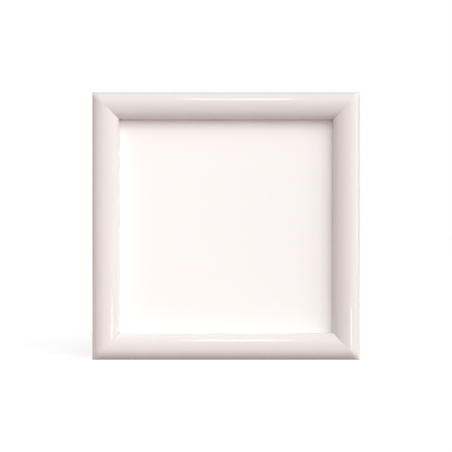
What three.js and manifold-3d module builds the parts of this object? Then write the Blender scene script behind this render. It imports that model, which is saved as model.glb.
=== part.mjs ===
// Square easel-back frame for a diamond painting: four mitred half-round rails, a picture card,
// a backing board with a hinged strut, turn buttons and a sawtooth hanger.
// Millimetres. X to the right as seen from the front, Z up, and the front faces -Y.
// The origin is the middle of the flat bottom edge that the frame stands on.
import * as THREE from "three";
import { mergeVertices } from "three/addons/utils/BufferGeometryUtils.js";
import Module from "manifold-3d";

const wasm = await Module();
wasm.setup();

// Picture and moulding
const pictureSize = 180;
const pictureClearance = 1;
const lipWidth = 7;
const faceWidth = 21;
const flankDepth = 11;
const crownDepth = 8;
const crownPeak = 9.4;
const edgeBreak = 0.6;
const mitreGap = 0.1;

// Sheets that lie in the rebate
const cardThickness = 2;
const cardCorner = 0.8;
const boardThickness = 3;
const boardClearance = 0.5;
const boardCorner = 2;
const boardRecess = 0.2;

// Clearances
const seatGap = 0.1;
const holeClearance = 0.25;
const pinClearance = 0.15;

// V-nails across the mitres
const nailsPerCorner = 2;
const vnailThickness = 0.5;
const vnailLeg = 5;
const vnailCurl = 0.8;
const vnailDepth = 8;

// Turn buttons and their screws
const buttonSpacing = 90;
const buttonThickness = 1;
const buttonEndRadius = 4.5;
const buttonTipRadius = 3;
const buttonReach = 17;
const bossRadius = 3.6;
const bossHeight = 0.6;
const ribWidth = 2;
const ribHeight = 0.5;
const screwShank = 1.3;
const screwLength = 10;
const screwTip = 2;
const screwHead = 2.75;
const screwHeadHeight = 1.6;

// Strut hinge
const sheet = 0.8;
const hingeHeight = 150;
const openAngle = THREE.MathUtils.degToRad(30);
const pinRadius = 1;
const pinHeadRadius = 1.7;
const pinHeadHeight = 0.6;
const knuckleWidth = 8;
const knuckleTurn = THREE.MathUtils.degToRad(290);
const knuckleClearance = 0.35;
const heelWidth = 2.7;
const heelSlit = 0.3;
const heelNotch = 2.6;
const cheekRadius = 2.8;
const cheekClearance = 0.3;
const bendRadius = 1;
const bracketPlateWidth = 14;
const plateLength = 24;
const plateCorner = 3;
const rivetNear = 12;
const rivetFar = 19.5;
const rivetShank = 1.5;
const rivetHead = 2.8;
const rivetHeadHeight = 1.1;
const rivetTail = 2.5;
const rivetTailHeight = 0.6;
const rivetTailRecess = 0.9;

// Strut
const strutThickness = 3;
const strutTopWidth = 40;
const strutFootWidth = 66;
const strutTopDrop = 4.5;
const strutTopCorner = 8;
const strutToeCorner = 2;
const strutToeWidth = 14;
const strutArch = 3;
const strutFloorGap = 5;

// Sawtooth hanger and its nails
const hangerLength = 45;
const hangerHeight = 10;
const hangerSheet = 0.8;
const hangerBow = 1.6;
const hangerFoot = 7;
const hangerRamp = 2.5;
const hangerCorner = 2;
const hangerNailInset = 3.6;
const toothPitch = 2.5;
const toothDepth = 1.5;
const toothCount = 11;
const nailShank = 0.7;
const nailLength = 8;
const nailTip = 1.5;
const nailHead = 1.75;
const nailHeadHeight = 0.7;

// Facets
const crownSteps = 10;
const cornerSteps = 5;
const rollSteps = 20;
const roundSteps = 20;
const samePoint = 1e-4;

// Sizes that follow
const rebateOpening = pictureSize + 2 * pictureClearance;
const sightOpening = rebateOpening - 2 * lipWidth;
const outerSize = sightOpening + 2 * faceWidth;
const half = outerSize / 2;
const backWidth = faceWidth - lipWidth;
const backMiddle = half - backWidth / 2;
const backPlane = flankDepth / 2;
const boardBack = backPlane - boardRecess;
const boardFront = boardBack - boardThickness;
const cardBack = boardFront - seatGap;
const cardFront = cardBack - cardThickness;
const rebateFloor = cardFront - seatGap;
const bracketFront = boardBack + seatGap;
const bracketBack = bracketFront + sheet;
const knuckleBore = pinRadius + pinClearance;
const pinDepth = bracketBack + knuckleClearance + sheet + knuckleBore;
const leafFront = pinDepth + knuckleBore;
const leafBack = leafFront + sheet;
const strutBack = leafFront - seatGap;
const strutFront = strutBack - strutThickness;
const leafWidth = knuckleWidth + 2 * (heelSlit + heelWidth);
const cheekInner = leafWidth / 2 + cheekClearance;
const cheekOuter = cheekInner + sheet;
const hingeRise = hingeHeight - half;

const X = new THREE.Vector3(1, 0, 0);
const Y = new THREE.Vector3(0, 1, 0);
const Z = new THREE.Vector3(0, 0, 1);

const gloss = { color: "#f0e8e6", roughness: 0.12, metalness: 0 };
const cardWhite = { color: "#fbfaf8", roughness: 0.9, metalness: 0 };
const hardboard = { color: "#7a5638", roughness: 0.75, metalness: 0 };
const nickel = { color: "#c6c4be", roughness: 0.3, metalness: 1 };
const zinc = { color: "#b4b7ba", roughness: 0.4, metalness: 1 };
const brightSteel = { color: "#a9a9a7", roughness: 0.35, metalness: 1 };

// A closed geometry as a solid that can be joined and cut.
function solidOf(geometry) {
  const bare = geometry.clone();
  bare.deleteAttribute("normal");
  bare.deleteAttribute("uv");
  const merged = mergeVertices(bare, samePoint);
  const mesh = new wasm.Mesh({
    numProp: 3,
    vertProperties: merged.attributes.position.array,
    triVerts: new Uint32Array(merged.index.array),
  });
  return new wasm.Manifold(mesh);
}

function geometryOf(solid) {
  const mesh = solid.getMesh();
  const geometry = new THREE.BufferGeometry();
  geometry.setAttribute("position", new THREE.BufferAttribute(mesh.vertProperties, 3));
  geometry.setIndex(new THREE.BufferAttribute(mesh.triVerts, 1));
  const flat = geometry.toNonIndexed();
  flat.computeVertexNormals();
  return flat;
}

function combine(operation, geometries) {
  const [first, ...rest] = geometries.map(solidOf);
  return geometryOf(rest.reduce((solid, other) => solid[operation](other), first));
}

const cut = (base, tools) => combine("subtract", [base, ...tools]);
const join = (...geometries) => combine("add", geometries);
const common = (...geometries) => combine("intersect", geometries);

function extrude(shape, depth) {
  return new THREE.ExtrudeGeometry(shape, { depth, bevelEnabled: false, curveSegments: cornerSteps });
}

// A plan drawn in X and Z, as thick as the space between the depths near and far.
function plan(shape, near, far) {
  const basis = new THREE.Matrix4().makeBasis(X, Z, Y.clone().negate());
  return extrude(shape, far - near).applyMatrix4(basis).translate(0, far, 0);
}

// A side view drawn in Y and Z, centred on X.
function sideView(shape, width) {
  const basis = new THREE.Matrix4().makeBasis(Y, Z, X);
  return extrude(shape, width).translate(0, 0, -width / 2).applyMatrix4(basis);
}

// A section drawn in X and Y, standing between the heights low and high.
function topView(shape, low, high) {
  return extrude(shape, high - low).translate(0, 0, low);
}

// A body turned about the Y direction, from pairs of radius and depth that run from front to back.
function turned(pairs) {
  const profile = pairs.map(([radius, depth]) => new THREE.Vector2(radius, depth));
  return new THREE.LatheGeometry(profile, roundSteps);
}

const drill = (radius, near, far) => turned([[0, near], [radius, near], [radius, far], [0, far]]);

// An outline through corners of x, z and radius.
function outline(corners) {
  const shape = new THREE.Shape();
  corners.forEach(([x, z, radius], i) => {
    const corner = new THREE.Vector2(x, z);
    const toward = (n) => {
      const [nx, nz] = corners[(i + n + corners.length) % corners.length];
      return new THREE.Vector2(nx, nz).sub(corner).setLength(radius).add(corner);
    };
    const entry = radius ? toward(-1) : corner;
    if (i === 0) shape.moveTo(entry.x, entry.y);
    else shape.lineTo(entry.x, entry.y);
    if (!radius) return;
    const exit = toward(1);
    shape.quadraticCurveTo(corner.x, corner.y, exit.x, exit.y);
  });
  shape.closePath();
  return shape;
}

const rectangle = (left, bottom, right, top, radius) =>
  outline([[left, bottom, radius], [right, bottom, radius], [right, top, radius], [left, top, radius]]);

function hole(shape, x, z, radius) {
  shape.holes.push(new THREE.Path().absarc(x, z, radius, 0, 2 * Math.PI, false));
}

// Sheet metal seen edge on: the centre line given its thickness.
function strip(points, thickness) {
  const line = points.filter((point, i) => i === 0 || point.distanceTo(points[i - 1]) > samePoint);
  const side = (sign) => line.map((point, i) => {
    const before = point.clone().sub(line[Math.max(i - 1, 0)]).normalize();
    const after = line[Math.min(i + 1, line.length - 1)].clone().sub(point).normalize();
    const along = before.add(after).normalize();
    const straight = i === 0 || i === line.length - 1 ? along : after;
    const across = new THREE.Vector2(-along.y, along.x);
    const lengthen = 1 / Math.abs(along.dot(straight));
    return across.multiplyScalar((sign * lengthen * thickness) / 2).add(point);
  });
  return new THREE.Shape([...side(1), ...side(-1).reverse()]);
}

function piece(name, geometry, finish) {
  const mesh = new THREE.Mesh(geometry, new THREE.MeshStandardMaterial(finish));
  mesh.name = name;
  return mesh;
}

// Rails. Each is the bottom rail turned about the middle of the picture.
const railNames = ["bottom", "left", "top", "right"];
const cornerNames = ["bottom_left", "top_left", "top_right", "bottom_right"];

// The crown's highest line lies crownPeak in from the outer edge, nearer to it than to the picture.
function railProfile() {
  const crownStart = backPlane - flankDepth;
  const innerSide = faceWidth - crownPeak;
  const shape = new THREE.Shape();
  shape.moveTo(edgeBreak, backPlane);
  shape.lineTo(0, backPlane - edgeBreak);
  shape.lineTo(0, crownStart);
  shape.absellipse(crownPeak, crownStart, crownPeak, crownDepth, Math.PI, 1.5 * Math.PI, false);
  shape.absellipse(crownPeak, crownStart, innerSide, crownDepth, 1.5 * Math.PI, 2 * Math.PI, false);
  shape.lineTo(faceWidth, rebateFloor);
  shape.lineTo(backWidth, rebateFloor);
  shape.lineTo(backWidth, backPlane);
  shape.closePath();
  return shape;
}

// The moulding is cut to length by mitres that follow its own distance from the outer edge.
function railBlank() {
  const alongRail = new THREE.Matrix4().makeBasis(Z, Y, X.clone().negate());
  const options = { depth: outerSize, bevelEnabled: false, curveSegments: crownSteps };
  const geometry = new THREE.ExtrudeGeometry(railProfile(), options);
  geometry.translate(0, 0, -half).applyMatrix4(alongRail).translate(0, 0, -half);
  const points = geometry.attributes.position;
  for (let i = 0; i < points.count; i++) {
    const reach = -points.getZ(i) - mitreGap / 2;
    points.setX(i, Math.sign(points.getX(i)) * reach);
  }
  return geometry;
}

// V-nails. The point is towards the outer corner, one leg lies in each rail, and the leg ends are curled.
function vnailPlan(inset, thickness, extra) {
  const apex = inset - half;
  const end = apex + vnailLeg + extra;
  const curl = vnailCurl * Math.SQRT1_2;
  const line = [
    new THREE.Vector2(end + curl, apex + curl),
    new THREE.Vector2(end, apex),
    new THREE.Vector2(apex, apex),
    new THREE.Vector2(apex, end),
    new THREE.Vector2(apex + curl, end + curl),
  ];
  return strip(line, thickness);
}

const vnailStep = backWidth / nailsPerCorner;
const vnailInsets = Array.from({ length: nailsPerCorner }, (_, i) => vnailStep * (i + 0.5));

function vnail(inset) {
  const back = backPlane - seatGap;
  return plan(vnailPlan(inset, vnailThickness, 0), back - vnailDepth, back);
}

function vnailSlots() {
  const floor = backPlane - seatGap - vnailDepth - holeClearance;
  const slots = vnailInsets.map((inset) => {
    const shape = vnailPlan(inset, vnailThickness + 2 * holeClearance, holeClearance);
    return plan(shape, floor, backPlane + edgeBreak);
  });
  return slots.flatMap((slot) => [slot, slot.clone().rotateY(-Math.PI / 2)]);
}

const slottedRail = cut(railBlank(), vnailSlots());

function rail(holes) {
  const drills = holes.map(({ x, radius, depth }) =>
    drill(radius + holeClearance, backPlane - depth - holeClearance, backPlane + edgeBreak)
      .translate(x, 0, -backMiddle));
  return drills.length ? cut(slottedRail, drills) : slottedRail;
}

// Screws, nails and rivets, each with the underside of its head at depth 0.
function pointed(shank, length, tip, head, headHeight) {
  return turned([
    [0, -length],
    [shank, tip - length],
    [shank, 0],
    [head, 0],
    [head, headHeight * 0.4],
    [head * 0.8, headHeight * 0.8],
    [head * 0.4, headHeight],
    [0, headHeight],
  ]);
}

function rivet(grip) {
  return turned([
    [0, -grip - rivetTailHeight],
    [rivetTail * 0.8, -grip - rivetTailHeight],
    [rivetTail, -grip - rivetTailHeight / 2],
    [rivetTail, -grip],
    [rivetShank, -grip],
    [rivetShank, 0],
    [rivetHead, 0],
    [rivetHead * 0.9, rivetHeadHeight * 0.45],
    [rivetHead * 0.6, rivetHeadHeight * 0.85],
    [rivetHead * 0.25, rivetHeadHeight],
    [0, rivetHeadHeight],
  ]);
}

// Turn buttons. The arm points in over the board, and a boss carries the screw's head.
const buttonFront = backPlane + seatGap;
const buttonBack = buttonFront + buttonThickness;
const bossBack = buttonBack + bossHeight;

function buttonOutline() {
  const lean = Math.asin((buttonEndRadius - buttonTipRadius) / buttonReach);
  const shape = new THREE.Shape();
  shape.absarc(0, 0, buttonEndRadius, Math.PI - lean, 2 * Math.PI + lean, false);
  shape.absarc(0, buttonReach, buttonTipRadius, lean, Math.PI - lean, false);
  shape.closePath();
  return shape;
}

function turnButton() {
  const ribEnd = buttonReach + buttonTipRadius / 2;
  const rib = rectangle(-ribWidth / 2, 0, ribWidth / 2, ribEnd, ribWidth / 3);
  const body = join(
    plan(buttonOutline(), buttonFront, buttonBack),
    plan(rib, buttonBack - ribHeight, buttonBack + ribHeight),
    turned([
      [0, buttonFront],
      [bossRadius, buttonFront],
      [bossRadius, buttonBack],
      [bossRadius - bossHeight, bossBack],
      [0, bossBack],
    ]),
  );
  return cut(body, [drill(screwShank + holeClearance, buttonFront - edgeBreak, bossBack + edgeBreak)]);
}

// Strut hinge, drawn with the pin's axis at height 0.
const hingePlates = [rivetNear, rivetFar];

function bracket() {
  const flat = cheekOuter - sheet / 2;
  const base = bracketFront + sheet / 2;
  const top = pinDepth + cheekRadius + edgeBreak;
  const line = new THREE.Path();
  line.moveTo(-flat, top);
  line.lineTo(-flat, base + bendRadius);
  line.absarc(bendRadius - flat, base + bendRadius, bendRadius, Math.PI, 1.5 * Math.PI, false);
  line.absarc(flat - bendRadius, base + bendRadius, bendRadius, 1.5 * Math.PI, 2 * Math.PI, false);
  line.lineTo(flat, top);
  const folded = topView(strip(line.getPoints(cornerSteps), sheet), -plateLength, 2 * plateLength);

  const side = new THREE.Shape();
  side.moveTo(bracketFront - sheet, -cheekRadius);
  side.lineTo(pinDepth, -cheekRadius);
  side.absarc(pinDepth, 0, cheekRadius, -Math.PI / 2, Math.PI / 2, false);
  side.lineTo(pinDepth, 2 * plateLength);
  side.lineTo(bracketFront - sheet, 2 * plateLength);
  side.closePath();
  hole(side, pinDepth, 0, pinRadius + pinClearance);

  const plate = bracketPlateWidth / 2;
  const front = outline([
    [-cheekOuter - sheet, -2 * cheekRadius, 0],
    [cheekOuter + sheet, -2 * cheekRadius, 0],
    [cheekOuter + sheet, cheekRadius, 0],
    [plate, cheekRadius, 0],
    [plate, plateLength, plateCorner],
    [-plate, plateLength, plateCorner],
    [-plate, cheekRadius, 0],
    [-cheekOuter - sheet, cheekRadius, 0],
  ]);
  hingePlates.forEach((rise) => hole(front, 0, rise, rivetShank + holeClearance));
  return common(folded, sideView(side, outerSize), plan(front, bracketFront - sheet, top + sheet));
}

// The heels stand as high behind the pin as lets them meet the bracket when the strut is fully open.
function leaf() {
  const standoff = pinDepth - bracketBack;
  const heel = (standoff + knuckleBore * Math.cos(openAngle) - seatGap) / Math.sin(openAngle);
  const wide = leafWidth / 2;
  const narrow = wide - heelWidth;
  const sheetPlan = outline([
    [-wide, -plateLength, plateCorner],
    [wide, -plateLength, plateCorner],
    [wide, heel, 0],
    [narrow, heel, 0],
    [narrow, -heelNotch, 0],
    [-narrow, -heelNotch, 0],
    [-narrow, heel, 0],
    [-wide, heel, 0],
  ]);
  hingePlates.forEach((drop) => hole(sheetPlan, 0, -drop, rivetShank + holeClearance));

  const rollRadius = knuckleBore + sheet / 2;
  const line = new THREE.Path();
  line.moveTo(pinDepth + rollRadius, -heelNotch - 2 * sheet);
  line.lineTo(pinDepth + rollRadius, 0);
  line.absarc(pinDepth, 0, rollRadius, 0, knuckleTurn, false);
  const roll = sideView(strip(line.getPoints(rollSteps / 2), sheet), knuckleWidth);
  return join(plan(sheetPlan, leafFront, leafBack), roll);
}

function hingePin() {
  const seat = cheekOuter + seatGap;
  return turned([
    [0, -seat - pinHeadHeight],
    [pinHeadRadius * 0.7, -seat - pinHeadHeight],
    [pinHeadRadius, -seat - pinHeadHeight / 2],
    [pinHeadRadius, -seat],
    [pinRadius, -seat],
    [pinRadius, seat],
    [pinHeadRadius, seat],
    [pinHeadRadius, seat + pinHeadHeight / 2],
    [pinHeadRadius * 0.7, seat + pinHeadHeight],
    [0, seat + pinHeadHeight],
  ]).rotateZ(-Math.PI / 2);
}

// The strut widens towards its foot, which is arched so that it stands on two toes.
function strutBoard() {
  const foot = strutFloorGap - hingeHeight;
  const top = strutTopWidth / 2;
  const wide = strutFootWidth / 2;
  const shape = outline([
    [-wide, foot, strutToeCorner],
    [strutToeWidth - wide, foot, strutToeCorner],
    [0, foot + 2 * strutArch, wide - strutToeWidth - strutToeCorner],
    [wide - strutToeWidth, foot, strutToeCorner],
    [wide, foot, strutToeCorner],
    [top, -strutTopDrop, strutTopCorner],
    [-top, -strutTopDrop, strutTopCorner],
  ]);
  hingePlates.forEach((drop) => hole(shape, 0, -drop, rivetShank + holeClearance));
  return plan(shape, strutFront, strutBack);
}

function backingBoard() {
  const side = pictureSize / 2 + boardClearance;
  const shape = rectangle(-side, -side, side, side, boardCorner);
  const tools = hingePlates.flatMap((rise) => [
    drill(rivetShank + holeClearance, boardFront - edgeBreak, boardBack + edgeBreak)
      .translate(0, 0, hingeRise + rise),
    drill(rivetTail + holeClearance, boardFront - edgeBreak, boardFront + rivetTailRecess)
      .translate(0, 0, hingeRise + rise),
  ]);
  return cut(plan(shape, boardFront, boardBack), tools);
}

// Sawtooth hanger, a bowed strip with its teeth towards the picture.
function hangerPlan() {
  const end = hangerLength / 2;
  const edge = hangerHeight / 2;
  const start = (toothCount * toothPitch) / 2;
  const shape = new THREE.Shape();
  shape.moveTo(-end, hangerCorner - edge);
  shape.quadraticCurveTo(-end, -edge, hangerCorner - end, -edge);
  shape.lineTo(end - hangerCorner, -edge);
  shape.quadraticCurveTo(end, -edge, end, hangerCorner - edge);
  shape.lineTo(end, edge - hangerCorner);
  shape.quadraticCurveTo(end, edge, end - hangerCorner, edge);
  for (let i = 0; i < toothCount; i++) {
    const x = start - i * toothPitch;
    shape.lineTo(x, edge);
    shape.lineTo(x - toothPitch / 2, edge - toothDepth);
  }
  shape.lineTo(-start, edge);
  shape.lineTo(hangerCorner - end, edge);
  shape.quadraticCurveTo(-end, edge, -end, edge - hangerCorner);
  shape.closePath();
  [-1, 1].forEach((side) => hole(shape, side * (end - hangerNailInset), 0, nailShank + holeClearance));
  return shape;
}

const hangerFront = backPlane + seatGap;
const hangerBack = hangerFront + hangerSheet;

function hanger() {
  const end = hangerLength / 2 + hangerSheet;
  const low = hangerFront + hangerSheet / 2;
  const high = low + hangerBow;
  const foot = hangerLength / 2 - hangerFoot;
  const line = [
    new THREE.Vector2(-end, low),
    new THREE.Vector2(-foot, low),
    new THREE.Vector2(hangerRamp - foot, high),
    new THREE.Vector2(foot - hangerRamp, high),
    new THREE.Vector2(foot, low),
    new THREE.Vector2(end, low),
  ];
  const bowed = topView(strip(line, hangerSheet), -hangerHeight, hangerHeight);
  return common(bowed, plan(hangerPlan(), hangerFront - hangerSheet, hangerBack + 2 * hangerBow));
}

// Assembly, about the middle of the picture
const assembly = new THREE.Group();
assembly.position.z = half;

const holePair = (x, radius, depth) => [-1, 1].map((side) => ({ x: side * x, radius, depth }));
const screwGrip = screwLength - (bossBack - backPlane);
const buttonHoles = holePair(buttonSpacing / 2, screwShank, screwGrip);
const nailGrip = nailLength - (hangerBack - backPlane);
const hangerHoles = holePair(hangerLength / 2 - hangerNailInset, nailShank, nailGrip);
const railHoles = { bottom: [], left: buttonHoles, top: hangerHoles, right: buttonHoles };

const railGroups = {};
railNames.forEach((name, turn) => {
  const group = new THREE.Group();
  group.rotation.y = (turn * Math.PI) / 2;
  group.add(piece(name + "_rail", rail(railHoles[name]), gloss));
  vnailInsets.forEach((inset, i) => {
    const place = i === 0 ? "outer" : i === nailsPerCorner - 1 ? "inner" : "middle_" + i;
    group.add(piece("vnail_" + cornerNames[turn] + "_" + place, vnail(inset), brightSteel));
  });
  railGroups[name] = group;
  assembly.add(group);
});

["left", "right"].forEach((name) => {
  buttonHoles.forEach(({ x }) => {
    const upper = name === "left" ? x < 0 : x > 0;
    const ending = name + (upper ? "_upper" : "_lower");
    const button = piece("turn_button_" + ending, turnButton(), nickel);
    const screw = piece(
      "button_screw_" + ending,
      pointed(screwShank, screwLength, screwTip, screwHead, screwHeadHeight),
      nickel,
    );
    button.position.set(x, 0, -backMiddle);
    screw.position.set(x, bossBack + seatGap, -backMiddle);
    railGroups[name].add(button, screw);
  });
});

const hangerMesh = piece("sawtooth_hanger", hanger(), zinc);
hangerMesh.position.z = -backMiddle;
railGroups.top.add(hangerMesh);
hangerHoles.forEach(({ x }) => {
  const name = x > 0 ? "hanger_nail_left" : "hanger_nail_right";
  const nail = piece(name, pointed(nailShank, nailLength, nailTip, nailHead, nailHeadHeight), zinc);
  nail.position.set(x, hangerBack + seatGap, -backMiddle);
  railGroups.top.add(nail);
});

const pictureEdge = pictureSize / 2;
const cardOutline = rectangle(-pictureEdge, -pictureEdge, pictureEdge, pictureEdge, cardCorner);
assembly.add(piece("insert_card", plan(cardOutline, cardFront, cardBack), cardWhite));
assembly.add(piece("backing_board", backingBoard(), hardboard));

const hinge = new THREE.Group();
hinge.position.z = hingeRise;
hinge.add(piece("strut_hinge_bracket", bracket(), nickel));
hinge.add(piece("strut_hinge_leaf", leaf(), nickel));
hinge.add(piece("strut_board", strutBoard(), hardboard));
const pin = piece("strut_hinge_pin", hingePin(), nickel);
pin.position.y = pinDepth;
hinge.add(pin);

const bracketHead = bracketBack + seatGap;
const bracketGrip = bracketHead - (boardFront + rivetTailRecess - seatGap);
const leafHead = leafBack + seatGap;
const leafGrip = leafHead - (strutFront - seatGap);
hingePlates.forEach((rise, i) => {
  const upperRivet = piece(i ? "bracket_rivet_upper" : "bracket_rivet_lower", rivet(bracketGrip), nickel);
  upperRivet.position.set(0, bracketHead, rise);
  const lowerRivet = piece(i ? "leaf_rivet_lower" : "leaf_rivet_upper", rivet(leafGrip), nickel);
  lowerRivet.position.set(0, leafHead, -rise);
  hinge.add(upperRivet, lowerRivet);
});
assembly.add(hinge);

const frame = new THREE.Group();
frame.add(assembly);

export default frame;
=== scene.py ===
import math

import bmesh
import bpy
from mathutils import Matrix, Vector
from mathutils.geometry import tessellate_polygon


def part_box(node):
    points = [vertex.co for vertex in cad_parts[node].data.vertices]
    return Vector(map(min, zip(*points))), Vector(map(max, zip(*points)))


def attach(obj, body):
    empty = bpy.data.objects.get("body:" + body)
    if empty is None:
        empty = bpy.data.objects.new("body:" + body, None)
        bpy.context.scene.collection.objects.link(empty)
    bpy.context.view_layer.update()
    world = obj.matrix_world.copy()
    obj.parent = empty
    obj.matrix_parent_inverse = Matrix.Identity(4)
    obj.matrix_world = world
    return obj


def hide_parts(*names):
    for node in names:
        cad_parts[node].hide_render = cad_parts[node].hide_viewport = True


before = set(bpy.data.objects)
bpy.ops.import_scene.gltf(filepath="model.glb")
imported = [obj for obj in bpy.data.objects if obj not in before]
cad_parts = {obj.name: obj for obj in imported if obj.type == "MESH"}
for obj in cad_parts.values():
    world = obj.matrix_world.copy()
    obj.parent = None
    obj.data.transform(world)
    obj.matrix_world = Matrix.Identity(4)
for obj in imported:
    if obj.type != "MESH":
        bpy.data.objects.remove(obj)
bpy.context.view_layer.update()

# Rails
# Half-round picture moulding: foamed polystyrene, extruded with a glossy white film over its crown and
# flank. Four lengths are sawn at 45 degrees and pressed together, so that a corner shows only a hairline,
# and the hip between two crowns is eased.
MM = 0.001
rail_low, rail_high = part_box("bottom_rail")
half = (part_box("top_rail")[1].z - rail_low.z) / 2
middle = Vector((0, 0, half))
face_width = rail_high.z - rail_low.z
back_plane = rail_high.y
flank_depth = 11 * MM
crown_start = back_plane - flank_depth
crown_height = crown_start - rail_low.y
crown_peak = 9.4 * MM
lip_width = 7 * MM
back_width = face_width - lip_width
seat_gap = 0.1 * MM
rebate_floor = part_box("insert_card")[0].y - seat_gap
back_edge = 0.6 * MM
lip_edge = 0.3 * MM
mitre_gap = 0.04 * MM
sawn_edge = 0.05 * MM
hip_width = 6 * MM
hip_fade = 2.5 * MM
hip_rings = [0.3, 0.7, 1.2, 1.8, 2.6, 3.6, 4.8, 6.0]
tight_fit = 0.04 * MM
weld_reach = 0.0003 * MM
crease = math.radians(50)
rail_names = ["bottom", "left", "top", "right"]

vnail_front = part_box("vnail_bottom_left_outer")[0].y
vnail_thickness = 0.5 * MM
vnail_leg = 5 * MM
vnail_curl = 0.8 * MM * math.sqrt(0.5)
vnail_insets = [back_width / 4, 3 * back_width / 4]

screw_shank = 1.3 * MM
screw_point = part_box("button_screw_left_lower")[0].y
button_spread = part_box("button_screw_left_upper")[1].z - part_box("button_screw_left_lower")[1].z
nail_shank = 0.7 * MM
nail_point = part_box("hanger_nail_left")[0].y
nail_low, nail_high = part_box("hanger_nail_right")
nail_spread = nail_low.x + nail_high.x
fastener_line = back_width / 2 - half


def colour(code):
    """An sRGB hex colour as linear red, green and blue with an alpha of 1."""
    shares = [int(code[i:i + 2], 16) / 255 for i in (1, 3, 5)]
    return [s / 12.92 if s <= 0.04045 else ((s + 0.055) / 1.055) ** 2.4 for s in shares] + [1]


def node(tree, kind, inputs=None, **settings):
    """Adds a node. Settings are its own properties; inputs are values or other nodes' outputs."""
    made = tree.nodes.new("ShaderNode" + kind)
    for name, value in settings.items():
        setattr(made, name, value)
    for name, value in (inputs or {}).items():
        if isinstance(value, bpy.types.NodeSocket):
            tree.links.new(value, made.inputs[name])
        else:
            made.inputs[name].default_value = value
    return made.outputs


def material(name, **surface):
    """A new material with its node tree, its shader's inputs and the piece's own coordinates."""
    made = bpy.data.materials.new(name)
    made.use_nodes = True
    tree = made.node_tree
    sockets = tree.nodes["Principled BSDF"].inputs
    for socket, value in surface.items():
        sockets[socket.replace("_", " ")].default_value = value
    return made, tree, sockets, node(tree, "TexCoord")["Object"]


def per_metre(millimetres):
    """The scale at which a pattern repeats about every so many millimetres."""
    return 1 / (millimetres * MM)


def arc(centre, across, deep, start, end, steps):
    """Points of an ellipse from the angle start to the angle end, in degrees."""
    turns = [math.radians(start + (end - start) * i / steps) for i in range(steps + 1)]
    return [Vector((centre[0] + across * math.cos(a), centre[1] + deep * math.sin(a))) for a in turns]


def inset(loop, distance):
    """A closed loop moved to its left, with mitred corners."""
    moved = []
    for i, point in enumerate(loop):
        before = (point - loop[i - 1]).normalized()
        after = (loop[(i + 1) % len(loop)] - point).normalized()
        along = (before + after).normalized()
        left = Vector((-along.y, along.x))
        lengthen = 1 / max(left.dot(Vector((-after.y, after.x))), 0.5)
        moved.append(point + left * distance * lengthen)
    return moved


def mesh_piece(name, points, faces, materials):
    """A new object from points and faces, with its faces turned outwards."""
    mesh = bpy.data.meshes.new(name)
    mesh.from_pydata(points, [], faces)
    for made in materials:
        mesh.materials.append(made)
    work = bmesh.new()
    work.from_mesh(mesh)
    bmesh.ops.recalc_face_normals(work, faces=work.faces)
    work.to_mesh(mesh)
    work.free()
    mesh.shade_smooth()
    piece = bpy.data.objects.new(name, mesh)
    bpy.context.scene.collection.objects.link(piece)
    return piece


def bridge(start, size, step):
    """The faces between a ring of so many points and the next one, step numbers on."""
    ends = [(start + i, start + (i + 1) % size) for i in range(size)]
    return [(a, a + step, b + step, b) for a, b in ends]


def strip(line, thickness):
    """The outline of sheet metal seen edge on, from its centre line, with mitred bends."""
    sides = {1: [], -1: []}
    for i, point in enumerate(line):
        before = (point - line[max(i - 1, 0)]).normalized()
        after = (line[min(i + 1, len(line) - 1)] - point).normalized()
        along = (before + after).normalized()
        lengthen = 1 if after.length == 0 else 1 / abs(along.dot(after))
        for sign, side in sides.items():
            side.append(point + Vector((-along.y, along.x)) * sign * lengthen * thickness / 2)
    return sides[-1] + sides[1][::-1]


def upright(name, loop, near, far, materials=()):
    """A solid with the outline drawn in X and Z, from the depth near to the depth far."""
    size = len(loop)
    points = [(x, depth, z) for depth in (near, far) for x, z in loop]
    faces = bridge(0, size, size) + [tuple(range(size)), tuple(range(size, 2 * size))]
    return mesh_piece(name, points, faces, materials)


def turned(name, pairs, materials=(), steps=48):
    """A solid turned about the Y direction, from pairs of radius and depth that end on the axis."""
    points = [(0, pairs[0][1], 0), (0, pairs[-1][1], 0)]
    for radius, depth in pairs[1:-1]:
        turns = [math.tau * i / steps for i in range(steps)]
        points += [(radius * math.cos(a), depth, radius * math.sin(a)) for a in turns]
    faces = []
    last = 2 + steps * (len(pairs) - 3)
    for i in range(steps):
        j = (i + 1) % steps
        faces += [(0, 2 + i, 2 + j), (1, last + j, last + i)]
    for ring in range(len(pairs) - 3):
        faces += bridge(2 + ring * steps, steps, steps)
    return mesh_piece(name, points, faces, materials)


def work_on(piece, operation, tools):
    """Cuts the piece with the tools, or joins them to it, and welds the points that fall together."""
    for tool in tools:
        step = piece.modifiers.new("work", "BOOLEAN")
        step.operation = operation
        step.solver = "EXACT"
        step.object = tool
        bpy.context.view_layer.update()
        worked = piece.evaluated_get(bpy.context.evaluated_depsgraph_get())
        mesh = bpy.data.meshes.new_from_object(worked)
        piece.modifiers.remove(step)
        piece.data = mesh
        bpy.data.objects.remove(tool)
    work = bmesh.new()
    work.from_mesh(piece.data)
    bmesh.ops.remove_doubles(work, verts=work.verts, dist=weld_reach)
    work.to_mesh(piece.data)
    work.free()


def fit(piece, body, slot, *nodes):
    """Evens the piece's shading, and sets it in place of its nodes and on its body. The slot is not used."""
    piece.data.set_sharp_from_angle(angle=crease)
    evened = piece.modifiers.new("even_shading", "WEIGHTED_NORMAL")
    evened.keep_sharp = True
    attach(piece, body)
    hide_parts(*nodes)


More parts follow.
